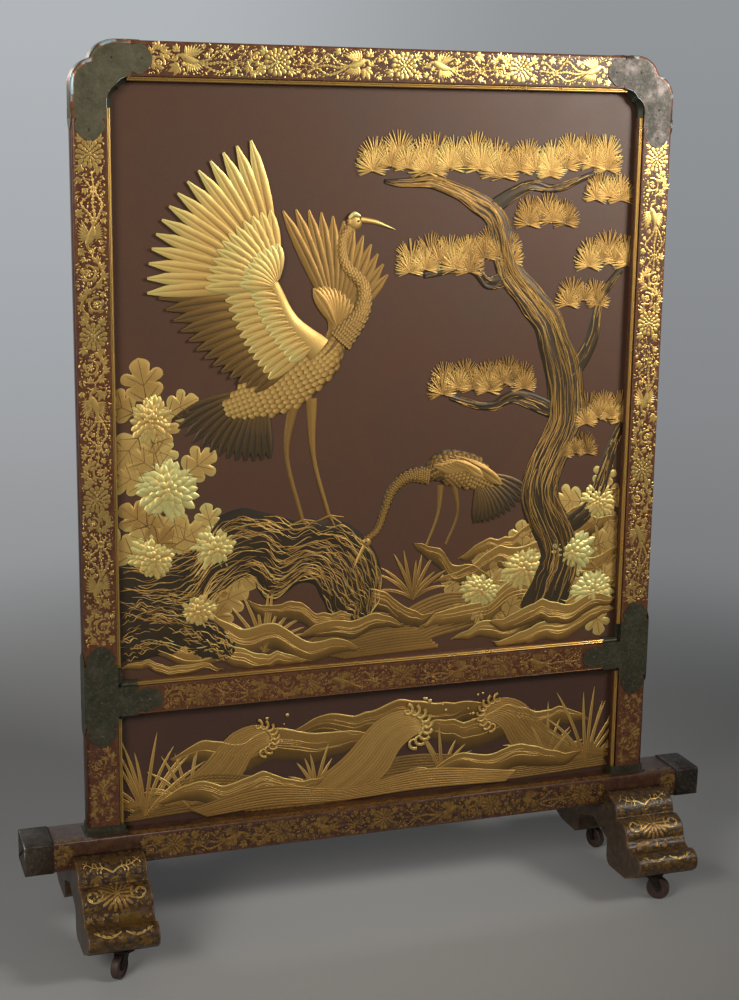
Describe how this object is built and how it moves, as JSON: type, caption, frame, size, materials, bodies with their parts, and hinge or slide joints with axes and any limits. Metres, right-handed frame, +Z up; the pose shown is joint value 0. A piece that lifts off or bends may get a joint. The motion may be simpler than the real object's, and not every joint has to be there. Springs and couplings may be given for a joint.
{
  "type": "lacquer screen",
  "caption": "Free-standing lacquered screen: a framed upper and lower panel with copper mounts on a long beam with scrolled feet and swivel casters.",
  "frame": {"origin": "on the floor, under the middle of the screen", "axes": "+X along the screen to its right, +Y to its back, +Z up"},
  "size_m": [1.212, 0.369, 1.4418],
  "materials": {
    "red_lacquer": "red-brown lacquer with gold scrollwork, satin, worn at the edges",
    "black_lacquer": "brown-black lacquer with gold scrollwork, satin, worn at the edges",
    "plum_lacquer": "plum-brown lacquer ground with raised gold relief, satin",
    "gold_bead": "gilded half-round bead",
    "copper_mounts": "sheet copper with a dark olive patina, worn to bare copper at the corners",
    "dark_iron": "dark, matte",
    "wheel_wood": "dark turned hardwood, worn tread",
    "dowel_wood": "plain hardwood"
  },
  "bodies": {
    "screen": {"base_beam": "red_lacquer", "beam_cap_left": "copper_mounts", "beam_cap_right": "copper_mounts", "foot_left": "black_lacquer", "foot_right": "black_lacquer", "foot_dowels": "dowel_wood", "left_stile": "red_lacquer", "right_stile": "red_lacquer", "top_rail": "red_lacquer", "mid_rail": "red_lacquer", "upper_panel": "plum_lacquer", "lower_panel": "plum_lacquer", "upper_bead_top": "gold_bead", "upper_bead_bottom": "gold_bead", "upper_bead_left": "gold_bead", "upper_bead_right": "gold_bead", "lower_bead_left": "gold_bead", "lower_bead_right": "gold_bead", "corner_mount_left": "copper_mounts", "corner_mount_right": "copper_mounts", "tee_mount_left": "copper_mounts", "tee_mount_right": "copper_mounts", "stile_shoe_left": "copper_mounts", "stile_shoe_right": "copper_mounts", "mount_nails": "copper_mounts", "caster_screws": "dark_iron", "caster_plate_front_left": "dark_iron", "caster_plate_front_right": "dark_iron", "caster_plate_rear_left": "dark_iron", "caster_plate_rear_right": "dark_iron"},
    "swivel_front_left": {"caster_fork_front_left": "dark_iron", "caster_axle_front_left": "dark_iron"},
    "wheel_front_left": {"caster_wheel_front_left": "wheel_wood"},
    "swivel_front_right": {"caster_fork_front_right": "dark_iron", "caster_axle_front_right": "dark_iron"},
    "wheel_front_right": {"caster_wheel_front_right": "wheel_wood"},
    "swivel_rear_left": {"caster_fork_rear_left": "dark_iron", "caster_axle_rear_left": "dark_iron"},
    "wheel_rear_left": {"caster_wheel_rear_left": "wheel_wood"},
    "swivel_rear_right": {"caster_fork_rear_right": "dark_iron", "caster_axle_rear_right": "dark_iron"},
    "wheel_rear_right": {"caster_wheel_rear_right": "wheel_wood"}
  },
  "joints": [
    {"name": "swivel_front_left_turn", "type": "hinge", "parent": "screen", "child": "swivel_front_left", "pos_m": [-0.4685, -0.133, 0.0453], "axis": [0, 0, 1], "continuous": true},
    {"name": "wheel_front_left_spin", "type": "hinge", "parent": "swivel_front_left", "child": "wheel_front_left", "pos_m": [-0.47589, -0.14246, 0.02], "axis": [0.788, -0.6157, 0], "continuous": true},
    {"name": "swivel_front_right_turn", "type": "hinge", "parent": "screen", "child": "swivel_front_right", "pos_m": [0.4685, -0.133, 0.0453], "axis": [0, 0, 1], "continuous": true},
    {"name": "wheel_front_right_spin", "type": "hinge", "parent": "swivel_front_right", "child": "wheel_front_right", "pos_m": [0.47889, -0.139, 0.02], "axis": [0.5, 0.866, 0], "continuous": true},
    {"name": "swivel_rear_left_turn", "type": "hinge", "parent": "screen", "child": "swivel_rear_left", "pos_m": [-0.4685, 0.106, 0.0453], "axis": [0, 0, 1], "continuous": true},
    {"name": "wheel_rear_left_spin", "type": "hinge", "parent": "swivel_rear_left", "child": "wheel_rear_left", "pos_m": [-0.47978, 0.1019, 0.02], "axis": [0.342, -0.9397, 0], "continuous": true},
    {"name": "swivel_rear_right_turn", "type": "hinge", "parent": "screen", "child": "swivel_rear_right", "pos_m": [0.4685, 0.106, 0.0453], "axis": [0, 0, 1], "continuous": true},
    {"name": "wheel_rear_right_spin", "type": "hinge", "parent": "swivel_rear_right", "child": "wheel_rear_right", "pos_m": [0.47161, 0.09441, 0.02], "axis": [0.9659, 0.2588, 0], "continuous": true}
  ]
}
